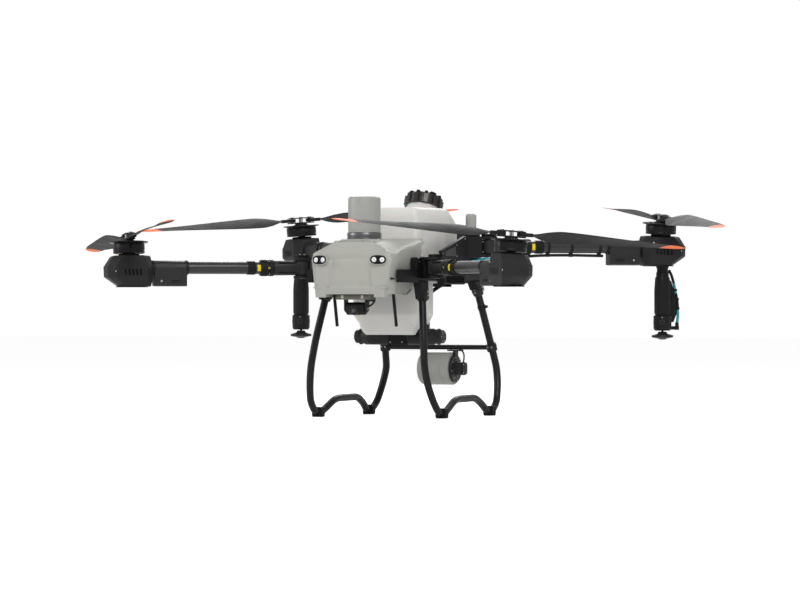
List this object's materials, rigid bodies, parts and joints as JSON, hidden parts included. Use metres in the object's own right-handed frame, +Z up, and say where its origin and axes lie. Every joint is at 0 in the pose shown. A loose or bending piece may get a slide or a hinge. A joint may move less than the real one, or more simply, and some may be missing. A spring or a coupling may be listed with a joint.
{
  "type": "agricultural spray drone",
  "caption": "Folding quadcopter crop sprayer with canted rotors, a lift-out tank, rotary sprinklers, radar domes and tubular landing gear.",
  "frame": {"origin": "on the ground under the middle of the machine", "axes": "+Z up, the front with the radar dome towards -Y, +X the machine's own left"},
  "size_m": [2.284, 2.2738, 0.787],
  "materials": {
    "carbon": "woven carbon tube, satin",
    "black_plastic": "moulded nylon, fine texture",
    "dark_grey_plastic": "moulded, fine texture",
    "housing_plastic": "moulded, satin warm grey",
    "tank_plastic": "translucent polyethylene",
    "blade_composite": "carbon nylon, satin, orange tip",
    "marker_yellow": "moulded yellow",
    "motor_metal": "anodised, turned",
    "copper_winding": "enamelled windings",
    "steel": "zinc plated",
    "rubber": "moulded rubber",
    "hose": "teal polyurethane hose",
    "lens": "clear moulded lens",
    "aluminium_dark": "anodised"
  },
  "bodies": {
    "airframe": {"centre_frame": "black_plastic", "hinge_yokes": "dark_grey_plastic", "leg_sockets": "dark_grey_plastic", "front_housing": "housing_plastic", "radar_ring": "aluminium_dark", "radar_dome": "housing_plastic", "light_pods": "black_plastic", "pod_lenses": "lens", "gimbal_bracket": "aluminium_dark", "antenna_rods": "black_plastic", "position_antennas": "housing_plastic", "left_leg_frame": "carbon", "right_leg_frame": "carbon", "rubber_feet": "rubber", "rear_crossbar": "carbon", "rear_radar": "housing_plastic", "rear_radar_mount": "black_plastic", "pump_unit": "black_plastic", "spray_hoses": "hose", "frame_fasteners": "steel"},
    "tank": {"tank": "tank_plastic"},
    "tank_cap": {"tank_cap": "black_plastic"},
    "battery": {"battery": "dark_grey_plastic"},
    "gimbal_camera": {"gimbal_camera": "black_plastic"},
    "front_left_arm": {"front_left_arm": "carbon", "front_left_nacelle": "dark_grey_plastic", "front_left_stator": "copper_winding"},
    "front_left_lock_collar": {"front_left_lock_collar": "marker_yellow"},
    "front_left_rotor": {"front_left_motor_bell": "motor_metal", "front_left_prop_clamp": "motor_metal"},
    "front_left_blade_a": {"front_left_blade_a": "blade_composite"},
    "front_left_blade_b": {"front_left_blade_b": "blade_composite"},
    "front_right_arm": {"front_right_arm": "carbon", "front_right_nacelle": "dark_grey_plastic", "front_right_stator": "copper_winding"},
    "front_right_lock_collar": {"front_right_lock_collar": "marker_yellow"},
    "front_right_rotor": {"front_right_motor_bell": "motor_metal", "front_right_prop_clamp": "motor_metal"},
    "front_right_blade_a": {"front_right_blade_a": "blade_composite"},
    "front_right_blade_b": {"front_right_blade_b": "blade_composite"},
    "rear_left_arm": {"rear_left_arm": "carbon", "rear_left_nacelle": "dark_grey_plastic", "rear_left_stator": "copper_winding", "left_sprinkler": "black_plastic"},
    "rear_left_lock_collar": {"rear_left_lock_collar": "marker_yellow"},
    "rear_left_rotor": {"rear_left_motor_bell": "motor_metal", "rear_left_prop_clamp": "motor_metal"},
    "rear_left_blade_a": {"rear_left_blade_a": "blade_composite"},
    "rear_left_blade_b": {"rear_left_blade_b": "blade_composite"},
    "rear_right_arm": {"rear_right_arm": "carbon", "rear_right_nacelle": "dark_grey_plastic", "rear_right_stator": "copper_winding", "right_sprinkler": "black_plastic"},
    "rear_right_lock_collar": {"rear_right_lock_collar": "marker_yellow"},
    "rear_right_rotor": {"rear_right_motor_bell": "motor_metal", "rear_right_prop_clamp": "motor_metal"},
    "rear_right_blade_a": {"rear_right_blade_a": "blade_composite"},
    "rear_right_blade_b": {"rear_right_blade_b": "blade_composite"},
    "left_spray_disc": {"left_spray_disc": "dark_grey_plastic"},
    "right_spray_disc": {"right_spray_disc": "dark_grey_plastic"}
  },
  "joints": [
    {"name": "front_left_arm_fold", "type": "hinge", "parent": "airframe", "child": "front_left_arm", "pos_m": [0.251, -0.251, 0.51], "axis": [0, 0, 1], "range_deg": [0, 95]},
    {"name": "front_left_collar_turn", "type": "hinge", "parent": "front_left_arm", "child": "front_left_lock_collar", "pos_m": [0.251, -0.251, 0.51], "axis": [0.7432, -0.6691, 0], "range_deg": [0, 60]},
    {"name": "front_left_rotor_spin", "type": "hinge", "parent": "front_left_arm", "child": "front_left_rotor", "pos_m": [0.7025, -0.6575, 0.55], "axis": [0.0467, 0.0518, 0.9976], "continuous": true},
    {"name": "front_left_blade_a_fold", "type": "hinge", "parent": "front_left_rotor", "child": "front_left_blade_a", "pos_m": [0.72827, -0.62888, 0.61327], "axis": [0.0467, 0.0518, 0.9976], "range_deg": [-90, 0]},
    {"name": "front_left_blade_b_fold", "type": "hinge", "parent": "front_left_rotor", "child": "front_left_blade_b", "pos_m": [0.68288, -0.6793, 0.61801], "axis": [0.0467, 0.0518, 0.9976], "range_deg": [0, 90]},
    {"name": "front_right_arm_fold", "type": "hinge", "parent": "airframe", "child": "front_right_arm", "pos_m": [-0.251, -0.251, 0.51], "axis": [0, 0, 1], "range_deg": [-95, 0]},
    {"name": "front_right_collar_turn", "type": "hinge", "parent": "front_right_arm", "child": "front_right_lock_collar", "pos_m": [-0.251, -0.251, 0.51], "axis": [-0.7432, -0.6691, 0], "range_deg": [0, 60]},
    {"name": "front_right_rotor_spin", "type": "hinge", "parent": "front_right_arm", "child": "front_right_rotor", "pos_m": [-0.7025, -0.6575, 0.55], "axis": [-0.0467, 0.0518, 0.9976], "continuous": true},
    {"name": "front_right_blade_a_fold", "type": "hinge", "parent": "front_right_rotor", "child": "front_right_blade_a", "pos_m": [-0.68288, -0.6793, 0.61801], "axis": [-0.0467, 0.0518, 0.9976], "range_deg": [-90, 0]},
    {"name": "front_right_blade_b_fold", "type": "hinge", "parent": "front_right_rotor", "child": "front_right_blade_b", "pos_m": [-0.72827, -0.62888, 0.61327], "axis": [-0.0467, 0.0518, 0.9976], "range_deg": [0, 90]},
    {"name": "rear_left_arm_fold", "type": "hinge", "parent": "airframe", "child": "rear_left_arm", "pos_m": [0.23, 0.235, 0.585], "axis": [0, 0, 1], "range_deg": [-95, 0]},
    {"name": "rear_left_collar_turn", "type": "hinge", "parent": "rear_left_arm", "child": "rear_left_lock_collar", "pos_m": [0.23, 0.235, 0.585], "axis": [0.7454, 0.6666, 0], "range_deg": [0, 60]},
    {"name": "rear_left_rotor_spin", "type": "hinge", "parent": "rear_left_arm", "child": "rear_left_rotor", "pos_m": [0.7025, 0.6575, 0.625], "axis": [0.0465, -0.052, 0.9976], "continuous": true},
    {"name": "rear_left_blade_a_fold", "type": "hinge", "parent": "rear_left_rotor", "child": "rear_left_blade_a", "pos_m": [0.68295, 0.67936, 0.69301], "axis": [0.0465, -0.052, 0.9976], "range_deg": [-90, 0]},
    {"name": "rear_left_blade_b_fold", "type": "hinge", "parent": "rear_left_rotor", "child": "rear_left_blade_b", "pos_m": [0.72817, 0.62879, 0.68827], "axis": [0.0465, -0.052, 0.9976], "range_deg": [0, 90]},
    {"name": "rear_right_arm_fold", "type": "hinge", "parent": "airframe", "child": "rear_right_arm", "pos_m": [-0.23, 0.235, 0.585], "axis": [0, 0, 1], "range_deg": [0, 95]},
    {"name": "rear_right_collar_turn", "type": "hinge", "parent": "rear_right_arm", "child": "rear_right_lock_collar", "pos_m": [-0.23, 0.235, 0.585], "axis": [-0.7454, 0.6666, 0], "range_deg": [0, 60]},
    {"name": "rear_right_rotor_spin", "type": "hinge", "parent": "rear_right_arm", "child": "rear_right_rotor", "pos_m": [-0.7025, 0.6575, 0.625], "axis": [-0.0465, -0.052, 0.9976], "continuous": true},
    {"name": "rear_right_blade_a_fold", "type": "hinge", "parent": "rear_right_rotor", "child": "rear_right_blade_a", "pos_m": [-0.72817, 0.62879, 0.68827], "axis": [-0.0465, -0.052, 0.9976], "range_deg": [-90, 0]},
    {"name": "rear_right_blade_b_fold", "type": "hinge", "parent": "rear_right_rotor", "child": "rear_right_blade_b", "pos_m": [-0.68295, 0.67936, 0.69301], "axis": [-0.0465, -0.052, 0.9976], "range_deg": [0, 90]},
    {"name": "left_disc_spin", "type": "hinge", "parent": "rear_left_arm", "child": "left_spray_disc", "pos_m": [0.7025, 0.6575, 0.276], "axis": [0, 0, 1], "continuous": true},
    {"name": "right_disc_spin", "type": "hinge", "parent": "rear_right_arm", "child": "right_spray_disc", "pos_m": [-0.7025, 0.6575, 0.276], "axis": [0, 0, 1], "continuous": true},
    {"name": "tank_lift", "type": "slide", "parent": "airframe", "child": "tank", "axis": [0, 0, 1], "range_m": [0, 0.3]},
    {"name": "cap_turn", "type": "hinge", "parent": "tank", "child": "tank_cap", "pos_m": [0, 0.188, 0.72], "axis": [0, 0.3584, 0.9336], "range_deg": [0, 90]},
    {"name": "battery_slide", "type": "slide", "parent": "airframe", "child": "battery", "axis": [0, 0, 1], "range_m": [0, 0.2]},
    {"name": "camera_tilt", "type": "hinge", "parent": "airframe", "child": "gimbal_camera", "pos_m": [0, -0.345, 0.372], "axis": [1, 0, 0], "range_deg": [-30, 60]}
  ],
  "couplings": [
    {"joint": "front_left_blade_a_fold", "follows": "front_left_arm_fold", "ratio": -0.94737},
    {"joint": "front_left_blade_b_fold", "follows": "front_left_arm_fold", "ratio": 0.94737},
    {"joint": "front_right_blade_a_fold", "follows": "front_right_arm_fold", "ratio": 0.94737},
    {"joint": "front_right_blade_b_fold", "follows": "front_right_arm_fold", "ratio": -0.94737},
    {"joint": "rear_left_blade_a_fold", "follows": "rear_left_arm_fold", "ratio": 0.94737},
    {"joint": "rear_left_blade_b_fold", "follows": "rear_left_arm_fold", "ratio": -0.94737},
    {"joint": "rear_right_blade_a_fold", "follows": "rear_right_arm_fold", "ratio": -0.94737},
    {"joint": "rear_right_blade_b_fold", "follows": "rear_right_arm_fold", "ratio": 0.94737}
  ]
}
